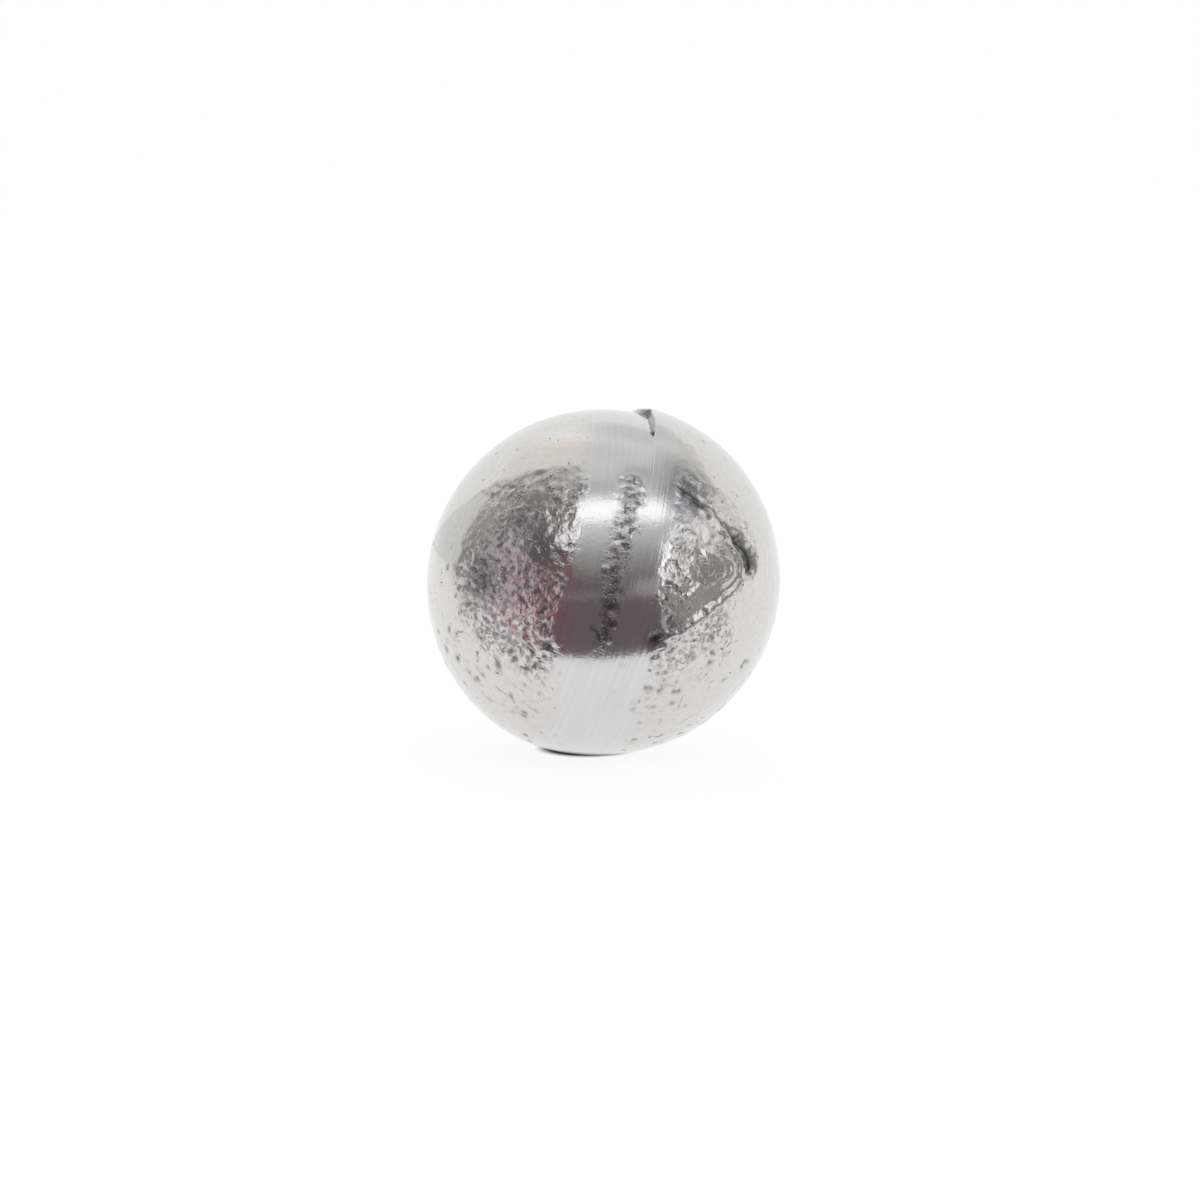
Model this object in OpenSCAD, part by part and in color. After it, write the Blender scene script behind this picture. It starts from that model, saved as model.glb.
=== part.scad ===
// Cast zinc ball: two half rounds cast as one piece in a mould of two halves.
// The mould had slipped along its joint when the metal was poured, so the two
// half rounds stand a little out of line, and the joint gapes at the top.
// Millimetres, +Z up. The origin is on the level foot, straight below the
// middle of the ball. The front is -Y, and the parting plane faces +X.

/* [Ball] */
// Diameter of each half round
ball_d = 50; // [24:0.5:60]
// Depth of the level foot, measured up from the lowest point of a true round
foot_cut = 0.9; // [0.6:0.1:2]

/* [Parting plane] */
// Distance that the right half stands above the left half
slip = 1.05; // [0.1:0.05:1.6]
// Lean of the plane from upright, in degrees
plane_lean = 14.6; // [5:0.2:25]
// Turn of the plane about the upright line, in degrees
plane_turn = 7.4; // [-20:0.2:20]

/* [Crack] */
// Width of the open crack
crack_w = 0.6; // [0.3:0.05:1.2]
// Depth of the open crack below the left half
crack_depth = 0.9; // [0.5:0.1:2]
// Back end of the open crack, in degrees forward of the top of the plane
crack_from = -24; // [-60:1:-5]
// Front end of the open crack, in degrees forward of the top of the plane
crack_to = 25; // [10:1:34]
// Diameter of the pinhole at the front end of the open crack
pinhole_d = 0.9; // [0.7:0.05:1.5]
// Width of the hairline that runs on from the open crack
hairline_w = 0.22; // [0.12:0.02:0.4]
// Depth of the hairline below the left half
hairline_depth = 0.3; // [0.2:0.05:1]
// Front end of the hairline, in degrees forward of the top of the plane
hairline_to = 44; // [36:1:80]

/* [Flash] */
// How far the lip of flash laps over the left half
lip_reach = 1.4; // [0.6:0.1:2.5]
// Thickness of the lip
lip_t = 0.45; // [0.3:0.05:0.6]
// Back end of the lip, in degrees forward of the top of the plane
lip_from = -15; // [-40:1:-10]
// Front end of the lip, in degrees forward of the top of the plane
lip_to = -3; // [-8:1:8]
// Width of the scar where the flash was broken off the left half
scar_w = 2.6; // [1:0.1:5]
// Height of the scar above the left half
scar_h = 0.14; // [0.06:0.02:0.3]
// Upper end of the scar, in degrees forward of the top of the plane
scar_from = 46; // [45:1:60]
// Lower end of the scar, in degrees forward of the top of the plane
scar_to = 112; // [80:1:140]

/* [Cold laps] */
// Turn of the laps' middle from the plane, in degrees to the right
lap_turn = 25; // [18:1:60]
// Rise of the laps' middle above the ball's middle, in degrees along the plane
lap_rise = 13; // [-20:1:30]
// Radius of the innermost lap
lap_r = 3.2; // [2:0.1:5]
// Distance from one lap to the next
lap_step = 1.15; // [1:0.05:2]
// Number of laps
lap_count = 4; // [1:1:5]
// Width of one lap
lap_w = 0.9; // [0.4:0.05:0.95]
// Height of one lap above the right half
lap_h = 0.16; // [0.08:0.02:0.3]
// Angle that each lap sweeps, in degrees
lap_sweep = 110; // [40:5:200]

/* [Blow holes] */
// Number of blow holes in each half
hole_count = 14; // [2:1:20]
// Diameter of the smallest blow hole
hole_min_d = 0.7; // [0.4:0.05:1]
// Diameter of the largest blow hole
hole_max_d = 1.3; // [1:0.05:2]

/* [Hidden] */
$fn = 96;

ball_r = ball_d / 2;
// Height of the ball's middle above the foot
middle_h = ball_r - foot_cut;
// How far a cutter stands out past the metal that it cuts
spare = 2;
// How far the lip's root reaches into the right half, and how far the lip lies
// below that half's round, so that the root stays covered
lip_root = 1;
lip_set = 0.06;
// How far a raised strip is rooted below the round
root = 1;
// The laps lie to the lower right of their middle
lap_droop = 12;
// Blow holes lie low at the front and sides, clear of the plane. The angles are
// measured from the plane and from the ball's middle.
hole_turns = [24, 72];
hole_rises = [-42, -8];
// Depth of a blow hole, as a share of its diameter
hole_share = 0.4;
hole_seed = 11;

// Puts a child, drawn about the middle of one half, into its place. In that
// drawing, +X points squarely out of the parting plane to the right, and +Z
// runs up along it. side is 1 for the right half and -1 for the left.
module in_half(side) {
    translate([0, 0, middle_h])
        rotate([0, plane_lean, plane_turn])
            translate([0, 0, side * slip / 2])
                children();
}

// Turns a child, drawn along -Y, to a turn right of the front and a rise
module toward(turn, rise) {
    rotate([0, 0, turn])
        rotate([-rise, 0, 0])
            children();
}

// Sweeps a flat outline round a half's rim, from one angle to another. In the
// outline, x is the distance from the half's middle, and y is to the right.
module round_rim(from, to) {
    rotate([0, 90, 0])
        rotate([0, 0, 180 + from])
            rotate_extrude(angle = to - from)
                children();
}

// One half of the casting
module half_ball(side) {
    in_half(side)
        rotate([0, side * 90, 0])
            rotate_extrude()
                intersection() {
                    circle(d = ball_d);
                    square(ball_d);
                }
}

// A slot of one width, cut along the parting plane. The left half is the lower
// one at the top, so its round sets the depth.
module slot(width, depth, from, to) {
    in_half(-1)
        round_rim(from, to)
            translate([ball_r - depth, -width / 2])
                square([depth + slip + spare, width]);
}

// The open crack, the pinhole at its front end and the hairline beyond it
module crack() {
    slot(crack_w, crack_depth, crack_from, crack_to);
    slot(hairline_w, hairline_depth, crack_to - 1, hairline_to);
    in_half(-1)
        toward(0, 90 - crack_to)
            translate([0, -ball_r, 0])
                sphere(d = pinhole_d, $fn = 32);
}

// Thin metal that ran out of the mould's joint and folded over to the left
module flash_lip() {
    in_half(1)
        round_rim(lip_from, lip_to)
            translate([ball_r - lip_set - lip_t, -lip_reach])
                square([lip_t, lip_reach + lip_root]);
}

// A low strip on the left half's rim, left where the flash was broken off
module flash_scar() {
    in_half(-1)
        round_rim(scar_from, scar_to)
            intersection() {
                difference() {
                    circle(r = ball_r + scar_h);
                    circle(r = ball_r - root);
                }
                translate([0, -scar_w])
                    square([ball_d, scar_w]);
            }
}

// One wrinkle where two fronts of the metal met and froze: an arc about the
// laps' middle. Only its crest stands above the half's round.
module lap(radius) {
    fall = ball_r - sqrt(ball_r * ball_r - radius * radius);
    back_r = (lap_w * lap_w / 4 + lap_h * lap_h) / (2 * lap_h);
    rotate([90, 0, 0])
        rotate([0, 0, -lap_sweep / 2 - lap_droop])
            rotate_extrude(angle = lap_sweep)
                translate([radius, ball_r - fall + lap_h - back_r])
                    circle(r = back_r);
}

// The laps, one outside the other
module cold_laps() {
    in_half(1)
        toward(lap_turn, lap_rise)
            for (i = [0 : lap_count - 1])
                lap(lap_r + i * lap_step);
}

// Small round hollows that gas left in one half's skin
module blow_holes(side) {
    turns = rands(hole_turns[0], hole_turns[1], hole_count, hole_seed + side);
    rises = rands(hole_rises[0], hole_rises[1], hole_count, hole_seed + 10 + side);
    widths = rands(hole_min_d, hole_max_d, hole_count, hole_seed + 20 + side);
    for (i = [0 : hole_count - 1])
        in_half(side)
            toward(side * turns[i], rises[i])
                translate([0, -ball_r - widths[i] * (0.5 - hole_share), 0])
                    sphere(d = widths[i], $fn = 32);
}

// Everything below the foot
module under_foot() {
    translate([-ball_d, -ball_d, -ball_d])
        cube([2 * ball_d, 2 * ball_d, ball_d]);
}

module ball() {
    color([0.72, 0.72, 0.73])
        difference() {
            union() {
                difference() {
                    union() {
                        half_ball(1);
                        half_ball(-1);
                        flash_scar();
                    }
                    crack();
                }
                flash_lip();
                cold_laps();
            }
            blow_holes(1);
            blow_holes(-1);
            under_foot();
        }
}

ball();
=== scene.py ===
# %% [markdown]
# # A cast zinc ball
#
# A foundry casts such a ball in a mould of two halves, to feed a plating bath or
# to be looked at as a lump of raw metal. One half of this mould had slipped, so
# the ball's two halves stand a little out of line. A belt grinder has dressed
# the joint to a smooth strip, and on both sides of it the skin is still as cast:
# bumpy, pitted and folded where the metal had begun to freeze.
#
# The imported model holds the true size and place. It is opened first, and its
# box gives the ball's size.

# %% Open the imported model
from math import cos, degrees, pi, radians, sin

import bpy
import numpy as np
from mathutils import Euler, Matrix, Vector, noise


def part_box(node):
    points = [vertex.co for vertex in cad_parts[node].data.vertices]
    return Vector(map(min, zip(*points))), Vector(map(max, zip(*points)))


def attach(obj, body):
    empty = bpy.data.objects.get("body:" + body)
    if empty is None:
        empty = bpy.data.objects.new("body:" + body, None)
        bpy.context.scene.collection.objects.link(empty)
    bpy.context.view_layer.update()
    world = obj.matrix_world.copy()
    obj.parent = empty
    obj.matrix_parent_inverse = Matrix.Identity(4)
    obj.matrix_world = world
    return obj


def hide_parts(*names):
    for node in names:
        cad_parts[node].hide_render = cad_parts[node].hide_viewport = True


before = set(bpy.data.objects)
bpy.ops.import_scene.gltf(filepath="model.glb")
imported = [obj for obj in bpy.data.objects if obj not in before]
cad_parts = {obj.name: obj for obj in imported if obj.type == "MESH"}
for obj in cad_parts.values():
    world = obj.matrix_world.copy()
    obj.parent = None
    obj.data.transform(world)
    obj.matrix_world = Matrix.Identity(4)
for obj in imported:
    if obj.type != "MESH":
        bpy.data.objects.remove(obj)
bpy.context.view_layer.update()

ball_low, ball_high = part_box("ball")
print("packed ball, mm:", [round(1000 * side, 2) for side in ball_high - ball_low])

# %% [markdown]
# ## Sizes
#
# Everything is worked out in millimetres and scaled to metres once, when the
# mesh is made. The joint of the mould is a plane through the ball's middle. It
# leans and is turned a little, and the right half has slipped up along it. That
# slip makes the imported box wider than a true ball, so the radius follows from
# the box once the sideways part of the slip is taken off.

# %% Sizes of the ball
MM = 0.001
LEAN = radians(14.6)
TURN = radians(7.4)
SLIP = 1.05
FOOT_CUT = 0.9

half_width = (ball_high.x - ball_low.x) / 2 / MM
ball_r = half_width - SLIP / 2 * sin(LEAN)
middle = Vector((0, 0, ball_r - FOOT_CUT))
to_world = Euler((0, LEAN, TURN)).to_matrix()
print("radius, mm:", round(ball_r, 2), " middle height, mm:", round(middle.z, 2))

# %% [markdown]
# ## The camera
#
# A ball is drawn with least distortion by a long lens. The camera stands nearly
# half a metre off, a little above the ball's middle, and looks at a point just
# below it, so that the ball sits slightly high in the frame.

# %% Camera
CAMERA_RISE = radians(8)
CAMERA_AWAY = 475
AIM = Vector((-0.5, 0, -2.65))

lens = bpy.data.cameras.new("camera")
lens.lens = 100
lens.sensor_width = 36
lens.clip_start = 0.01
camera = bpy.data.objects.new("camera", lens)
bpy.context.scene.collection.objects.link(camera)
bpy.context.scene.camera = camera

toward_camera = Vector((0, -cos(CAMERA_RISE), sin(CAMERA_RISE)))
camera.location = (middle + AIM + toward_camera * CAMERA_AWAY) * MM
camera.rotation_euler = toward_camera.to_track_quat("Z", "Y").to_euler()
bpy.context.scene.view_settings.view_transform = "Standard"
print("camera at, mm:", [round(c / MM) for c in camera.location])

# %% [markdown]
# ## A grid that follows the joint
#
# A ball is usually an icosphere or a rounded cube, but neither has an edge where
# the two halves meet, and a crack half a millimetre wide would come out as a
# blur. This grid is a belt of rows laid parallel to the joint, like lines of
# latitude beside an equator, with a round cap at each end.
#
# Eight rows lie close together at the joint itself. Each has a part to play
# where the joint is open: two rims, three rows for the crack's floor, and three
# for the thin flash that folds over it. Where the joint is closed they lie side
# by side in the skin and can't be told from it.

# %% Rows of the belt
COLUMNS = 496
BODY_ROWS = 61
BELT_EDGE = radians(45)
JOINT_HALF = 0.12
BODY_START = 0.17
LEFT_RIM, LEFT_FLOOR, MID_FLOOR, RIGHT_FLOOR, LIP_ROOT, LIP_UNDER, LIP_TOP, RIGHT_RIM = range(1, 9)

belt_reach = ball_r * BELT_EDGE
body = np.linspace(BODY_START, belt_reach, BODY_ROWS)
plain_rows = np.zeros(BODY_ROWS)
row_across = np.concatenate([-body[::-1], np.linspace(-JOINT_HALF, JOINT_HALF, 8), body])
row_role = np.concatenate([plain_rows, np.arange(1, 9), plain_rows]).astype(int)
row_side = np.concatenate([plain_rows - 1, [-1, -0.75, 0, 0.75, 1, 1, 1, 1], plain_rows + 1])
print("rows:", len(row_across), " row spacing, mm:", round(body[1] - body[0], 3))


# %% Caps that close the belt
def cap_grid(ring, first):
    """Vertex numbers of a square grid, with the belt's last row as its border."""
    steps = COLUMNS // 4
    grid = -np.ones((steps + 1, steps + 1), int)
    span = np.arange(steps)
    grid[span, 0] = ring[0:steps]
    grid[steps, span] = ring[steps:2 * steps]
    grid[steps - span, steps] = ring[2 * steps:3 * steps]
    grid[0, steps - span] = ring[3 * steps:4 * steps]
    inside = grid < 0
    grid[inside] = first + np.arange(inside.sum())
    return grid, inside


def square_to_disc(grid_shape, inside):
    """Radius, 0 to 1, and angle of each inner point, by Shirley's even map."""
    steps = grid_shape[0] - 1
    i, j = np.nonzero(inside)
    a = 2 * i / steps - 1
    b = 2 * j / steps - 1
    wide = np.abs(a) > np.abs(b)
    radius = np.where(wide, a, b)
    lead = np.where(radius == 0, 1, radius)
    angle = np.where(wide, pi / 4 * b / lead, pi / 2 - pi / 4 * a / lead)
    return np.abs(radius), np.where(radius < 0, angle + pi, angle)


# %% Points of the grid, by their distance across the joint and their angle round it
ROUND_START = radians(225)
round_angle = ROUND_START + 2 * pi * np.arange(COLUMNS) / COLUMNS
row_number, column = np.meshgrid(np.arange(len(row_across)), np.arange(COLUMNS), indexing="ij")
belt = np.arange(row_number.size).reshape(row_number.shape)

left_cap, inner = cap_grid(belt[0], row_number.size)
right_cap, _ = cap_grid(belt[-1], row_number.size + inner.sum())
cap_radius, cap_angle = square_to_disc(left_cap.shape, inner)
cap_across = pi / 2 * ball_r - cap_radius * (pi / 2 * ball_r - belt_reach)
cap_ones = np.ones(inner.sum())

across = np.concatenate([row_across[row_number].ravel(), -cap_across, cap_across])
turned = np.concatenate([round_angle[column].ravel(), cap_angle, cap_angle])
side = np.concatenate([row_side[row_number].ravel(), -cap_ones, cap_ones])
role = np.concatenate([row_role[row_number].ravel(), 0 * cap_ones, 0 * cap_ones]).astype(int)
print("points:", len(across))

# %% Faces of the grid
upper = belt[:-1]
lower = belt[1:]
belt_faces = np.stack([upper, np.roll(upper, -1, 1), np.roll(lower, -1, 1), lower], -1)


def cap_faces(cap):
    return np.stack([cap[:-1, :-1], cap[1:, :-1], cap[1:, 1:], cap[:-1, 1:]], -1).reshape(-1, 4)


faces = np.concatenate([belt_faces.reshape(-1, 4), cap_faces(left_cap)[:, ::-1], cap_faces(right_cap)])
print("triangles:", 2 * len(faces))

# %% [markdown]
# ## Where each finish lies
#
# Two plain measures place everything on the ball: how far a point is across from
# the joint, in millimetres, and how far along the joint it lies, in degrees from
# the top, forward and down. Written in those two, a mask reads like a note on a
# drawing.
#
# No edge on a dressed casting is clean. The belt rides over the bumps of the
# skin, so the strip's edge wanders, and every mask here is shifted by a little
# smooth noise before it is cut.

# %% Measures on the ball
along = (degrees(1) * turned - 90) % 360
along = np.where(along > 180, along - 360, along)


def smooth(value, low, high):
    """0 below low, 1 above high, and a soft step between them."""
    t = np.clip((value - low) / (high - low), 0, 1)
    return t * t * (3 - 2 * t)


def between(value, low, high, soft):
    """1 from low to high, fading to 0 over `soft` on both sides."""
    return smooth(value, low - soft, low + soft) * (1 - smooth(value, high - soft, high + soft))


def crest(value, place, width):
    """A round crest, 1 high, at one value."""
    return np.exp(-((value - place) / width) ** 2)


def direction(across_mm, round_rad):
    """Unit directions in the joint's own frame."""
    latitude = across_mm / ball_r
    ring = np.cos(latitude)
    return np.stack([np.sin(latitude), ring * np.cos(round_rad), ring * np.sin(round_rad)], -1)


def lumps(points, pitch, seed):
    """Smooth random values, about -0.7 to 0.7, with lumps `pitch` mm apart."""
    return np.array([noise.noise(Vector(p)) for p in points / pitch + seed])


def patch(middle_across, middle_along, radius):
    """1 at one place on the ball, fading to 0 at about twice the radius."""
    place = direction(middle_across, radians(90 + middle_along))
    return crest(np.linalg.norm(plain / ball_r - place, axis=1) * ball_r, 0, radius)


plain = direction(across, turned) * ball_r
print("along, degrees:", along.min().round(), "to", along.max().round())

# %% The dressed strip
# It lies left of the joint over the front and crosses it toward the foot
strip_middle = -0.55 - 2.35 * np.tanh(2.2 * np.cos(np.radians(along - 28)))
strip_half = 6.3 + 0.9 * crest(along, 98, 12) - 0.9 * smooth(along, 108, 130)
wander = 0.9 * lumps(plain, 2.2, 13.1) + 0.9 * lumps(plain, 0.8, 5.7)
outside = np.abs(across + wander - strip_middle) - strip_half
strip = 1 - smooth(outside, -0.5, 0.5)
print("share dressed:", round(float(strip.mean()), 2))

# %% The scar down the middle of the strip, where the flash broke away
scar_middle = -2.65 + 0.5 * smooth(along, 80, 100)
scar_half = 1.65 - 0.5 * smooth(along, 60, 105)
scar_edge = np.abs(across - scar_middle + 1.3 * lumps(plain, 1.1, 8.2)) - scar_half
scar = 1 - smooth(scar_edge, -0.7, 0.5)
scar *= between(along + 6 * lumps(plain, 1.5, 4.1), 45, 106, 5)
skin = 1 - strip * (1 - scar)

# %% How rough the skin is
belly_end = 109 + 14 * smooth(-across, 4, 12)
belly = between(np.abs(along) + 6 * lumps(plain, 3.0, 2.2), 45, belly_end, 9)
near_joint = between(across, -24, 18, 2.5)
patchy = np.clip(0.75 + 0.9 * lumps(plain, 3.5, 21.2), 0.45, 1.2)
worn = patch(-22, 94, 3.8)
blush = patch(-11.5, 94, 5)
calm = patch(-13.2, 75.5, 4.2)
under = between(np.abs(along), 105, 150, 10)
rough = (0.11 + 0.60 * belly * patchy + 0.22 * under + 0.45 * blush) * (0.25 + 0.75 * near_joint)
rough *= 1 - 0.8 * calm
rough = skin * np.maximum.reduce([0.55 * scar, rough, 0.9 * worn])
print("roughest skin:", round(float(rough.max()), 2))

# %% [markdown]
# ## The joint
#
# Round the top the joint has opened into a crack, which ends in a pinhole and
# runs on as a hairline. A tongue of flash, the metal that squeezed out between
# the mould's halves, is folded to the left over the crack's far end.
#
# The rows at the joint are moved apart for the crack and its floor is sunk. The
# step between the halves is sharp there. Further round the grinder took it away,
# so the slip fades into a soft ramp that only a long straight edge would find.

# %% Crack, pinhole and hairline
CRACK_FROM = -24
CRACK_TO = 24
HAIRLINE_TO = 45
crack = between(along, CRACK_FROM, CRACK_TO, 1.2)
pinhole = crest(along, CRACK_TO - 1, 1.6)
hairline = between(along, CRACK_TO, HAIRLINE_TO, 2)
ragged = 1 + 0.6 * lumps(plain, 1.1, 9.3)
gap = (0.27 * crack + 0.13 * pinhole) * ragged + 0.03 * hairline
depth = 0.45 * crack + 0.6 * pinhole + 0.04 * hairline

on_floor = np.isin(role, (LEFT_FLOOR, MID_FLOOR, RIGHT_FLOOR))
beside_joint = 1 - smooth(np.abs(across), 2, 10)
moved = across + side * gap * beside_joint
rim_drop = depth * on_floor

# %% Flash folded over the crack
flash = between(along, -18, 1, 2.5)
hangs_over = np.isin(role, (LIP_UNDER, LIP_TOP))
moved -= hangs_over * flash * (1.3 + 0.5 * lumps(plain, 1.6, 7.7))
flash_drop = flash * np.select([role == LIP_ROOT, role == LIP_UNDER, role == LIP_TOP], [0.5, 0.75, 0.4], 0)
unit = direction(moved, turned)

# %% Slip of the halves
RAMP_HALF = 14
dressed = smooth(np.abs(along), 5, 50)
ramp = np.sin(pi / 2 * np.clip(moved / RAMP_HALF, -1, 1))
slip_share = ramp * dressed + side * (1 - dressed)
print("step left at the crack, mm:", round(SLIP * float(1 - dressed[np.abs(along) < CRACK_TO].max()), 2))

# %% [markdown]
# ## The cast skin
#
# Zinc freezes from the mould's wall inward and leaves a skin of small round
# bumps. Two sizes of smooth noise give the bumps that show in the outline and in
# the way the room is broken up in the metal. Finer ones are left to the material.
#
# On the right the stream folded over metal that had already frozen. The lap is a
# shield with a raised rim, and its corner points right. Its outline is the sum of
# two slanted straight edges, rounded where they meet, so the same measure that
# draws the rim also gives the curved growth lines nested inside it.

# %% Bumps
bumps = 0.22 * lumps(plain, 0.95, 1.7) + 0.13 * lumps(plain, 1.9, 2.9)
swell = 0.05 * lumps(plain, 5.0, 4.4)
relief = (0.3 + 0.7 * skin) * swell

# %% Cold lap
LAP_ACROSS = 10.5
LAP_ALONG = 73
UPPER_REACH = 6.6
LOWER_REACH = 5.2

lap_x = across - LAP_ACROSS
lap_y = ball_r * np.radians(LAP_ALONG - along) * np.cos(across / ball_r)
upper_edge = (0.46 * lap_x + 0.89 * lap_y) / UPPER_REACH
lower_edge = (0.72 * lap_x - 0.69 * lap_y) / LOWER_REACH
lap_reach = np.cbrt(np.maximum(upper_edge, 0) ** 3 + np.maximum(lower_edge, 0) ** 3)
lap_reach += 0.08 * lumps(plain, 2.1, 6.1) + 0.04 * lumps(plain, 0.9, 3.3)

off_strip = smooth(outside, -0.3, 1.2)
near_lap = off_strip * between(along, 44, 98, 2) * (1 - smooth(across, 19, 22))
in_lap = (1 - smooth(lap_reach, 0.95, 1.02)) * near_lap
at_corner = smooth(lap_x, 1.5, 4.0) * smooth(lap_y, -0.5, 1.5) * near_lap
below = smooth(lower_edge - upper_edge, 0, 0.3) * near_lap
rim = crest(lap_reach, 0.93, 0.07 + 0.05 * below) * near_lap * (1 - at_corner)
fold = crest(lap_reach, 1.04, 0.07 + 0.05 * at_corner) * near_lap * (1 - below)
growth = crest(lap_reach, 0.80, 0.045) * at_corner
growth += 0.7 * crest(lap_reach, 0.55, 0.05) * smooth(lap_x, 2, 3.5)
growth += 0.35 * crest(lap_reach, 0.30, 0.06) * near_lap
relief += (0.26 + 0.14 * below) * rim + 0.26 * growth - (0.20 + 0.40 * at_corner) * fold - 0.10 * in_lap
rough *= 1 - 0.5 * in_lap * smooth(across, 6, 9)
relief += rough * bumps
print("rim of the lap, share of the skin:", round(float((rim > 0.5).mean()), 4))

# %% [markdown]
# ## Blow holes
#
# Gas leaves pits that are strung along faint seams, where two tongues of metal
# met. The seams are the places where one slow noise passes through zero. Many
# places for a pit are drawn at random, and those on a seam are kept, with a few
# of the others. Denser clusters are scattered round three middles, and the pits
# that catch the eye on the real ball are placed one by one. One of them, a wide
# pocket at the lap's lower end, is sunk deeper. Pits and pocket are drawn darker
# the deeper they are, a painted shade.

# %% Blow holes
HOLE_TRIES = 420
STRAY_SHARE = 0.12
random = np.random.default_rng(11)


def seam_distance(points):
    """Near 0 along wandering lines, where two tongues of metal met."""
    return np.abs(lumps(points, 4.2, 6.6) + 0.3 * lumps(points, 1.3, 2.4))


hole_across = random.uniform(-27, 27, HOLE_TRIES)
hole_along = random.uniform(105, 255, HOLE_TRIES)
hole_at = direction(hole_across, np.radians(90 + hole_along))
hole_r = random.uniform(0.3, 0.65, HOLE_TRIES)
on_seam = seam_distance(hole_at * ball_r) < 0.05
kept = on_seam | (random.uniform(0, 1, HOLE_TRIES) < STRAY_SHARE)

# Clusters: middle across and along, spread across and along, number
CLUSTERS = ((-22, 94, 2.3, 6, 60), (-9.5, 104, 1.5, 3, 14), (7, 118, 3.0, 6, 34))
# Pits that stand alone: where the scar begins, far left, in a chain low on the left,
# beside the strip and on the right
PITS = ((-4, 49), (-4, 52), (-26.5, 95), (-29.5, 101), (-22.8, 111), (-18.9, 100),
        (-26.4, 156), (-23.6, 155), (-21.1, 147), (-18.2, 145), (-16.7, 143), (-16.4, 138),
        (-16.2, 132), (-14.8, 127), (-13.0, 124), (-12.8, 119), (-10.8, 121), (-10.0, 118),
        (-10.1, 128), (-10.1, 145), (-8.4, 144), (-8.8, 108), (-7.6, 106), (13, 101), (15, 107))
hole_at = [hole_at[kept]]
hole_r = [hole_r[kept]]
for middle_across, middle_along, spread_across, spread_along, number in CLUSTERS:
    own_across = random.normal(middle_across, spread_across, number)
    own_along = random.normal(middle_along, spread_along, number)
    hole_at.append(direction(own_across, np.radians(90 + own_along)))
    hole_r.append(random.uniform(0.25, 0.6, number))
pit_across, pit_along = np.array(PITS).T
hole_at = np.concatenate(hole_at + [direction(pit_across, np.radians(90 + pit_along))])
hole_r = np.concatenate(hole_r + [random.uniform(0.45, 0.7, len(PITS))])

hole_wander = 0.35 * lumps(plain, 0.7, 1.1)
holes = np.zeros(len(plain))
for place, radius in zip(hole_at, hole_r):
    distance = np.linalg.norm(unit - place, axis=1) * ball_r + hole_wander
    holes = np.maximum(holes, crest(distance, 0, 0.7 * radius) * radius)
holes *= np.maximum(skin, 0.2)
pocket = patch(5.0, 98.8, 1.15)
relief -= 0.18 * pocket
relief -= 0.38 * holes
seams = (1 - smooth(seam_distance(plain), 0.01, 0.05)) * smooth(lumps(plain, 1.8, 9.9), -0.1, 0.2)
print("blow holes:", len(hole_at))

# %% [markdown]
# ## The ball
#
# Each point now has a direction and a height. The halves are shifted along the
# joint, the ball is leaned and turned into place, and whatever is left below the
# floor is pressed flat, as the resting foot is. The masks go along as point
# attributes, because the material needs them.

# %% Points and mesh
points = unit * (ball_r + relief - rim_drop - flash_drop)[:, None]
points[:, 2] += slip_share * SLIP / 2
points = points @ np.array(to_world).T + np.array(middle)
points[:, 2] = np.maximum(points[:, 2], 0)

mesh = bpy.data.meshes.new("ball_casting")
mesh.from_pydata((points * MM).tolist(), [], faces.tolist())
mesh.update()
mesh.shade_smooth()

low_down = between(np.abs(along), 112, 160, 8)
# The dark mask below is mostly painted shade, in the crack's floor, the fold, the pits and the pocket, with
# a painted dark reflection on the lap's upper end and stains on the lap, the worn patch, the scar and the
# seams.
in_crack = on_floor * np.maximum.reduce([0.6 * crack, 0.9 * pinhole, 0.12 * hairline])
in_fold = (0.6 + 0.4 * at_corner) * fold
# A painted dark reflection along the upper end of the lap's rim, where the slope would mirror a dark part of
# the room.
painted_dark_reflection = crest(upper_edge, 0.96, 0.24) * near_lap * (1 - smooth(lap_x, -3, 0))
painted_dark_reflection *= np.clip(1.0 + 1.0 * lumps(plain, 1.3, 5.3), 0.4, 1)
scar_stain = scar * (0.20 + 0.50 * between(along, 82, 104, 4) * smooth(lumps(plain, 1.4, 3.8), -0.1, 0.3))
stains_and_dark_reflection = np.maximum.reduce([0.2 * in_lap, 0.6 * worn, 0.95 * painted_dark_reflection, scar_stain, 0.3 * seams * low_down * skin])
dirt_and_shade = np.maximum.reduce([in_crack, in_fold, 1.3 * holes, pocket, stains_and_dark_reflection])
pores = skin * np.maximum.reduce([scar, worn, 0.9 * seams * low_down, 0.5 * belly * near_joint])
tarnish = patch(-13, 33, 3.2)
masks = {"skin": skin, "rough": rough, "dirt_and_shade": dirt_and_shade, "pores": pores, "tarnish": tarnish,
         "across": moved, "along": along}
for name, values in masks.items():
    layer = mesh.attributes.new(name, "FLOAT", "POINT")
    layer.data.foreach_set("value", values.astype(np.float32))

casting = bpy.data.objects.new("ball_casting", mesh)
bpy.context.scene.collection.objects.link(casting)
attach(casting, "root")
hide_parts("ball")
print("box, mm:", points.min(0).round(2), points.max(0).round(2))

# %% [markdown]
# ## Shader maths
#
# Materials, the floor and the room are all node trees. A small class wraps an
# output socket, so that shares and distances can be added and multiplied as
# plain numbers are. One method adds every node: it names the type, sets its
# options first, and then gives each input a value or a link.


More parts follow.
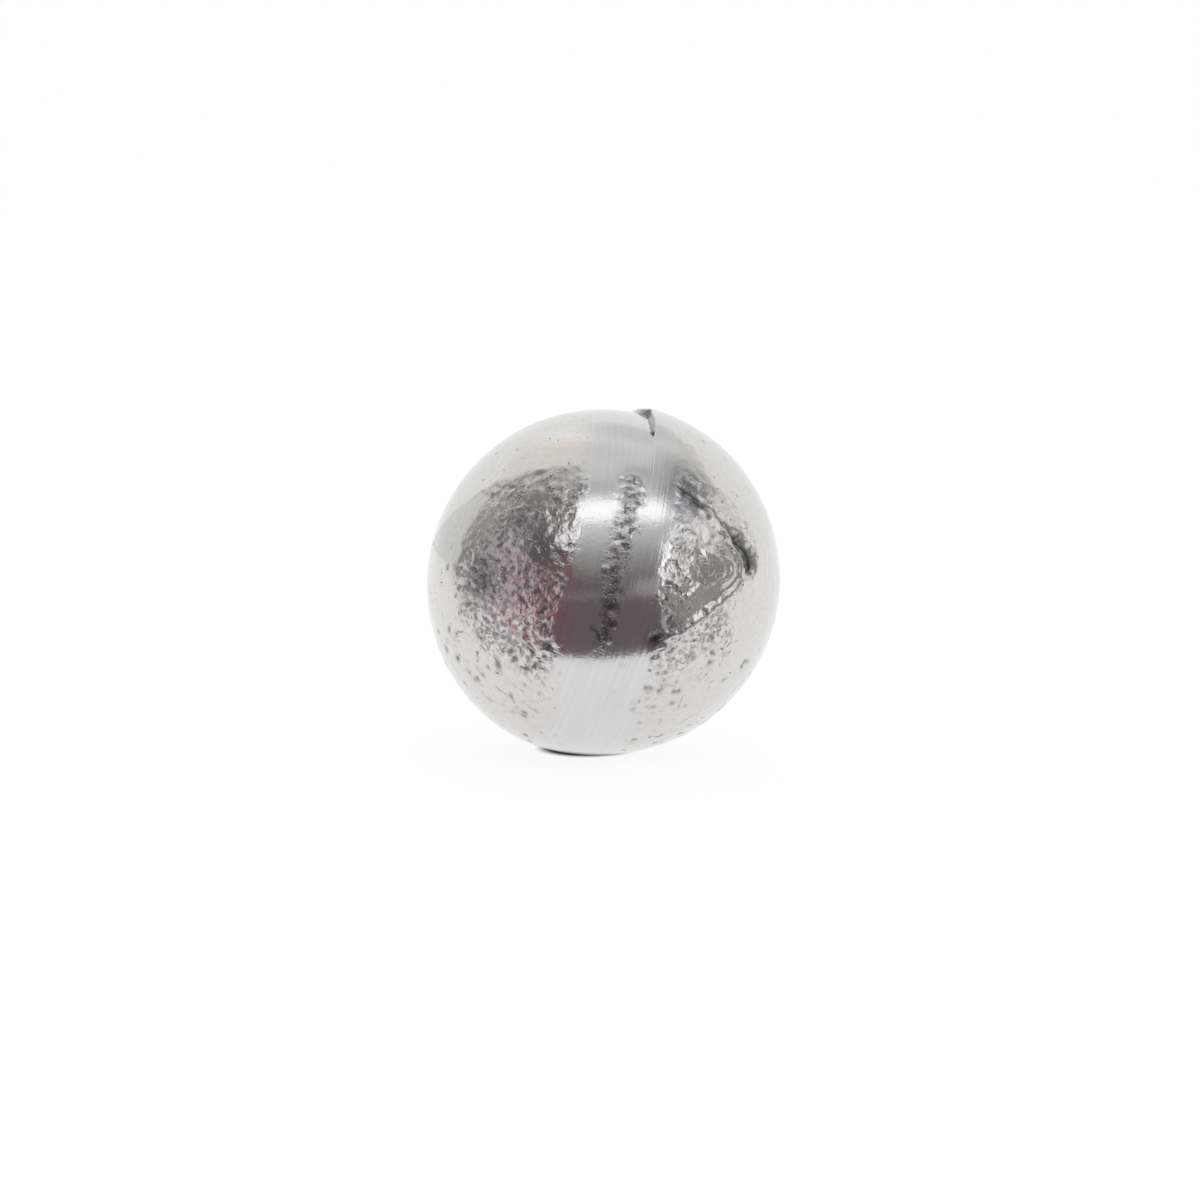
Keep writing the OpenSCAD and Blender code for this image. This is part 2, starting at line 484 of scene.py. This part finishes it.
# %% Node helpers
class Link:
    """An output socket that takes part in Python arithmetic."""

    def __init__(self, tree, socket):
        self.tree = tree
        self.socket = socket

    def __add__(self, other):
        return self.tree.math("ADD", self, other)

    def __sub__(self, other):
        return self.tree.math("SUBTRACT", self, other)

    def __rsub__(self, other):
        return self.tree.math("SUBTRACT", other, self)

    def __mul__(self, other):
        return self.tree.math("MULTIPLY", self, other)

    def __truediv__(self, other):
        return self.tree.math("DIVIDE", self, other)

    def __abs__(self):
        return self.tree.math("ABSOLUTE", self)

    __radd__ = __add__
    __rmul__ = __mul__


class Tree:
    """The node tree of a material or of the world."""

    def __init__(self, owner):
        owner.use_nodes = True
        self.tree = owner.node_tree
        self.tree.nodes.clear()

    def add(self, kind, settings=None, inputs=None, output=0):
        node = self.tree.nodes.new(kind)
        for name, value in (settings or {}).items():
            setattr(node, name, value)
        for name, value in (inputs or {}).items():
            if isinstance(value, Link):
                self.tree.links.new(value.socket, node.inputs[name])
            else:
                node.inputs[name].default_value = value
        return Link(self, node.outputs[output]) if node.outputs else node

    def math(self, operation, *values):
        return self.add("ShaderNodeMath", {"operation": operation}, dict(enumerate(values)))

    def vector(self, operation, first, second, output=0):
        return self.add("ShaderNodeVectorMath", {"operation": operation}, {0: first, 1: second}, output)

    def step(self, value, low, high):
        """0 below low, 1 above high, with a soft step between them."""
        ends = {"Value": value, "From Min": low, "From Max": high}
        return self.add("ShaderNodeMapRange", {"interpolation_type": "SMOOTHSTEP"}, ends)

    def between(self, value, low, high, soft):
        fall = 1 - self.step(value, high - soft, high + soft)
        return self.step(value, low - soft, low + soft) * fall

    def blend(self, share, first, second):
        """The colour `first`, turning to `second` where share is 1."""
        return self.add("ShaderNodeMix", {"data_type": "RGBA"}, {0: share, 6: first, 7: second}, 2)

    def noise(self, where, pitch, detail=1.0, warp=0.0):
        """Noise from 0 to 1, with lumps `pitch` apart."""
        inputs = {"Vector": where, "Scale": 1 / pitch, "Detail": detail, "Distortion": warp}
        return self.add("ShaderNodeTexNoise", None, inputs)

    def attribute(self, name):
        return self.add("ShaderNodeAttribute", {"attribute_name": name}, None, "Fac")

    def coordinate(self, which):
        return self.add("ShaderNodeTexCoord", None, None, which)

    def part(self, vector, number):
        """One of a vector's three parts."""
        return self.add("ShaderNodeSeparateXYZ", None, {0: vector}, number)

    def finish(self, surface, kind="ShaderNodeOutputMaterial"):
        self.add(kind, None, {"Surface": surface})


def grey(value, warm=0.0):
    """A grey, a little warm or, below zero, a little blue."""
    return (value * (1 + warm), value, value * (1 - warm), 1)


# %% [markdown]
# ## Zinc
#
# Bright zinc is a bluish metal that mirrors about two thirds of the light. The
# dressed strip is a soft mirror with faint lines along the belt's travel. The
# skin is a little duller, and breaks the mirror up with bumps too fine for the
# mesh. The hollows between those bumps are drawn darker, a painted shade, and
# pores are both a dip and a painted dark spot.

# %% Zinc
zinc = bpy.data.materials.new("cast_zinc")
t = Tree(zinc)
place = t.vector("DIVIDE", t.coordinate("Object"), (MM, MM, MM))
is_skin = t.attribute("skin")
is_strip = 1 - is_skin

fine = t.noise(place, 0.36, warp=0.4)
medium = t.noise(place, 0.72, warp=0.4)
lane = {"X": t.attribute("across") * 2.2, "Y": t.attribute("along") * 0.03, "Z": 0.0}
lines = t.noise(t.add("ShaderNodeCombineXYZ", None, lane), 1.0, detail=3.0)
pore = t.step(t.noise(place, 0.85, warp=0.5) + t.attribute("pores") * 0.17, 0.70, 0.84) * is_skin

height = t.attribute("rough") * (fine * 0.015 + medium * 0.17) - pore * 0.06
height = height + is_strip * (lines * 0.025 + fine * 0.006 + medium * 0.01)
bump = t.add("ShaderNodeBump", None, {"Strength": 1.0, "Distance": MM, "Height": height})

strip_tone = t.blend(lines, grey(0.61), grey(0.71))
skin_tone = t.blend(medium, grey(0.60, 0.01), grey(0.70, 0.01))
colour = t.blend(is_skin, strip_tone, skin_tone)
colour = t.blend(t.attribute("tarnish") * 0.35, colour, (0.72, 0.60, 0.50, 1))
# Painted shade: the low places of the rough skin's bumps are drawn darker.
PAINTED_HOLLOW_SHADE = (0.135, 0.105, 0.115, 1)
hollow = (1 - t.step(medium, 0.36, 0.58)) * t.step(t.attribute("rough"), 0.33, 0.72)
colour = t.blend(hollow * 0.6, colour, PAINTED_HOLLOW_SHADE)
# Painted shade: pores are drawn as dark spots.
colour = t.blend(pore * 0.7, colour, grey(0.12, 0.03))
# Painted shade and a painted dark reflection, with stains, darken the metal here.
colour = t.blend(t.attribute("dirt_and_shade"), colour, grey(0.06))
roughness = 0.15 + t.attribute("rough") * 0.20 + is_strip * lines * 0.05 + pore * 0.15

inputs = {"Base Color": colour, "Metallic": 1.0, "Roughness": roughness, "Normal": bump}
t.finish(t.add("ShaderNodeBsdfPrincipled", None, inputs))
mesh.materials.append(zinc)
print("nodes in the zinc:", len(t.tree.nodes))

# %% [markdown]
# ## The room that the metal mirrors
#
# A metal ball shows its room more than itself, so the room is painted by
# direction. `turn` is 0 at the front and grows to the right, and `rise` is 0
# level and 90 straight up, in degrees. One wide window stands high in front,
# with grey wall under it, darker walls left and right, and a white back wall.
#
# Each line of a list is a soft-edged panel laid over the ones before it. `turn`
# ends at 180 behind the ball, and a panel that should not fade there is given
# 220. The camera sees plain white behind the ball, as on a cut-out picture.

# %% Room
world = bpy.data.worlds.new("white_surround")
bpy.context.scene.world = world
surround = Tree(world)
surround.finish(surround.add("ShaderNodeBackground", None, {"Color": grey(1.0), "Strength": 1.0}),
                "ShaderNodeOutputWorld")

SCREEN_AWAY = 1500
SCREEN_TURNS = np.radians(np.arange(-180, 184, 4))
SCREEN_RISES = np.radians(np.arange(0, 92, 4))
turn_at, rise_at = np.meshgrid(SCREEN_TURNS, SCREEN_RISES, indexing="ij")
screen_points = np.stack([np.sin(turn_at) * np.cos(rise_at), -np.cos(turn_at) * np.cos(rise_at),
                          np.sin(rise_at)], -1).reshape(-1, 3) * SCREEN_AWAY
number = np.arange(turn_at.size).reshape(turn_at.shape)
screen_faces = np.stack([number[:-1, :-1], number[1:, :-1], number[1:, 1:], number[:-1, 1:]], -1)
in_front = np.abs(turn_at[:-1, :-1] + radians(2)) < radians(112)
overhead = rise_at[:-1, :-1] > radians(38)
screen_faces = screen_faces[in_front | overhead]
screen_mesh = bpy.data.meshes.new("painted_screen")
screen_mesh.from_pydata((screen_points * MM).tolist(), [], screen_faces.tolist())
screen = bpy.data.objects.new("painted_screen", screen_mesh)
screen.location = middle * MM
screen.visible_camera = False
bpy.context.scene.collection.objects.link(screen)
paint = bpy.data.materials.new("painted_screen")
screen_mesh.materials.append(paint)
w = Tree(paint)
look = w.vector("NORMALIZE", w.coordinate("Object"), (0, 0, 0))
turn = w.math("ARCTAN2", w.part(look, 0), w.part(look, 1) * -1.0) * degrees(1)
rise = w.math("ARCSINE", w.part(look, 2)) * degrees(1)



def add_panels(room, panels):
    """The room with soft-edged panels laid over it, one after another."""
    for turn_low, turn_high, turn_soft, rise_low, rise_high, rise_soft, tone in panels:
        share = w.between(turn, turn_low, turn_high, turn_soft)
        share = share * w.between(rise, rise_low, rise_high, rise_soft)
        room = w.blend(share, room, tone)
    return room


PURPLE = (0.155, 0.118, 0.133, 1)
PINK = (1.25, 0.88, 1.00, 1)
WINE = (0.22, 0.08, 0.11, 1)
LILAC = (0.64, 0.62, 0.68, 1)
PANELS = (
    # turn from, to, soft; rise from, to, soft; colour
    (118, 158, 8, 8, 48, 8, grey(0.76, 0.02)),
    (104, 136, 8, 0, 22, 5, grey(0.54, 0.04)),
    (-150, -96, 12, 34, 80, 18, grey(0.93, 0.03)),
    (15, 100, 10, 60, 84, 6, grey(0.60)),
    (-92, -58, 9, 30, 54, 12, grey(0.32, 0.03)),
    (-58, -26, 9, 30, 58, 12, grey(0.24, 0.03)),
    (-66, -27, 6, -90, 43, 7, (0.14, 0.115, 0.125, 1)),
    (-96, -74, 6, -90, 12, 5, grey(0.36, 0.02)),
    (-74, -58, 5, -90, 12, 5, (0.60, 0.50, 0.55, 1)),
    (-92, -58, 6, 12, 32, 6, (0.84, 0.73, 0.77, 1)),
    (58, 104, 5, -90, 12, 6, grey(0.30, 0.05)),
    (108, 220, 6, -90, 4, 5, grey(1.12)),
    (-220, -120, 9, -90, 38, 8, grey(1.0)),
    (-62, -32, 7, -90, 9, 8, PINK),
    (-44, -18, 5, -90, 18, 5, WINE),
    (-23, 42, 5, -90, 13, 7, PURPLE),
    (18, 40, 4, -6, 8, 3, (0.42, 0.37, 0.39, 1)),
)
room = w.blend(w.step(abs(turn), 92, 160), grey(0.31, 0.02), grey(1.12))
behind = w.math("FLOORED_MODULO", turn, 360.0)
room = w.blend(w.between(behind, 140, 188, 12) * w.between(rise, 16, 62, 6), room, grey(0.78))
room = w.blend(w.step(rise, 56, 72), room, grey(0.80))
room = add_panels(room, PANELS)
room = w.blend(w.between(turn, -24, 62, 3) * w.step(rise, 18, 45), room, grey(0.74, -0.01))

WINDOWS = (
    (54, 84, 4, 36, 52, 4, LILAC),
    (84, 106, 5, 40, 54, 4, grey(0.26, -0.06)),
    (60, 82, 4, 20, 36, 4, grey(1.5)),
    (82, 108, 6, 14, 36, 5, grey(0.95, 0.05)),
    (42, 55, 3, -9, 29, 4, grey(1.95)),
    (42, 58, 4, -28, -6, 5, grey(0.7)),
    (-36, -25, 2, 30, 60, 3, grey(1.8)),
    (-50, 26, 8, 68, 75, 2.5, grey(0.56)),
    (-28, 34, 2, 48, 63.5, 1.5, grey(1.55)),
    (34, 56, 2, 44, 57.5, 2, grey(1.6)),
)
room = add_panels(room, WINDOWS)

w.finish(w.add("ShaderNodeEmission", None, {"Color": room, "Strength": 1.0}))
print("panels in the room:", len(PANELS) + len(WINDOWS))

# %% [markdown]
# ## The sheet and the dark table
#
# The ball lies on a white sheet. To the camera and to the metal alike the sheet
# is plain white with the ball's own soft shadow and a painted contact shadow
# right under the foot. Tones for the sheet as the metal might see it, a painted
# ring of light near the foot and painted shade under and behind the ball, are
# worked out as nodes but lead to no output. A dark table, which only the metal
# sees, lies over the sheet beyond a straight line in front of the ball.


# %% Sheet
def flat_piece(name, low, high, level):
    """A flat rectangle, in millimetres, and the tree of its material."""
    corners = [(low[0], low[1]), (high[0], low[1]), (high[0], high[1]), (low[0], high[1])]
    flat = bpy.data.meshes.new(name)
    flat.from_pydata([Vector((x, y, level)) * MM for x, y in corners], [], [(0, 1, 2, 3)])
    made = bpy.data.objects.new(name, flat)
    bpy.context.scene.collection.objects.link(made)
    material = bpy.data.materials.new(name)
    flat.materials.append(material)
    return made, Tree(material)


floor, f = flat_piece("white_sheet", (-3000, -1500), (3000, 3000), 0)
spot = f.vector("DIVIDE", f.coordinate("Object"), (MM, MM, MM))


def away_from(x, y, wide=1.0, deep=1.0):
    """Distance from one point of the sheet, in mm, measured as on an ellipse."""
    shift = f.vector("SUBTRACT", spot, (x, y, 0))
    return f.vector("LENGTH", f.vector("DIVIDE", shift, (wide, deep, 1)), (0, 0, 0), "Value")


# Painted light and shade for the sheet as the metal would see it: a painted ring of light round the foot,
# painted shade behind the ball and under the foot, and other tones further off. Nothing connects these tones
# to the sheet's output.
from_foot = away_from(0, 4)
across_sheet = abs(f.part(spot, 0))
far = f.blend(f.step(f.part(spot, 1) / across_sheet, 0.1, 0.45), grey(0.42, 0.02), grey(1.10))
sides = f.blend(f.step(f.part(spot, 0), -50, 50), grey(0.88), grey(1.06))
painted_mirror_tones = f.blend(f.step(across_sheet, 8, 40), grey(0.66), sides)
painted_mirror_tones = f.blend(f.step(across_sheet, 90, 160), painted_mirror_tones, far)
painted_mirror_tones = f.blend(1 - f.step(from_foot, 20, 36), painted_mirror_tones, (1.00, 1.01, 1.04, 1))
painted_mirror_tones = f.blend(1 - f.step(from_foot, 14, 20), painted_mirror_tones, (1.38, 1.40, 1.48, 1))
painted_mirror_tones = f.blend(1 - f.step(away_from(0, 30, 28.0, 35.0), 0.92, 1.03), painted_mirror_tones, grey(0.30))
painted_mirror_tones = f.blend((1 - f.step(away_from(11, 8, 0.8, 1.2), 8, 14)) * 0.6, painted_mirror_tones, grey(0.25))
ragged_edge = (f.noise(spot, 3.0) - 0.5) * 5
foot_shade = 1 - f.step(away_from(-0.6, -5, 1.1) + ragged_edge, 3.3, 9.2)
painted_mirror_tones = f.blend(foot_shade, painted_mirror_tones, (0.05, 0.045, 0.07, 1))

# A painted contact shadow: the sheet's even glow is cut to black in a disc round the foot, for the camera
# and the metal alike.
glow_with_painted_shadow = f.blend(f.step(away_from(-2.4, 0), 5.3, 7.8), grey(0.0), grey(0.84))
lit = f.add("ShaderNodeBsdfDiffuse", None, {"Color": grey(0.24)})
own = f.add("ShaderNodeEmission", None, {"Color": glow_with_painted_shadow, "Strength": 1.0})
f.finish(f.add("ShaderNodeAddShader", None, {0: lit, 1: own}))

# %% Dark table
SHEET_EDGE = -41.5
table, d = flat_piece("dark_table", (-2500, -2500), (2500, SHEET_EDGE), 0.3)
table.visible_camera = False
table.visible_shadow = False
table.visible_diffuse = False
spot_on_table = d.coordinate("Object")
table_turn = d.math("ARCTAN2", d.part(spot_on_table, 0), d.part(spot_on_table, 1) * -1.0) * degrees(1)
from_ball = d.vector("LENGTH", spot_on_table, (0, 0, 0), "Value")
pink_side = d.blend(d.step(from_ball, 55 * MM, 85 * MM), (0.50, 0.42, 0.46, 1), PINK)
table_tone = d.blend(d.step(table_turn, -58, -48), grey(0.46), pink_side)
table_tone = d.blend(d.step(table_turn, -46, -34), table_tone, WINE)
table_tone = d.blend(d.step(table_turn, -27, -18), table_tone, PURPLE)
table_tone = d.blend(d.step(table_turn, 34, 44), table_tone, grey(0.40, 0.04))
d.finish(d.add("ShaderNodeEmission", None, {"Color": table_tone, "Strength": 1.0}))
print("sheet ends in front of the ball, mm:", SHEET_EDGE)
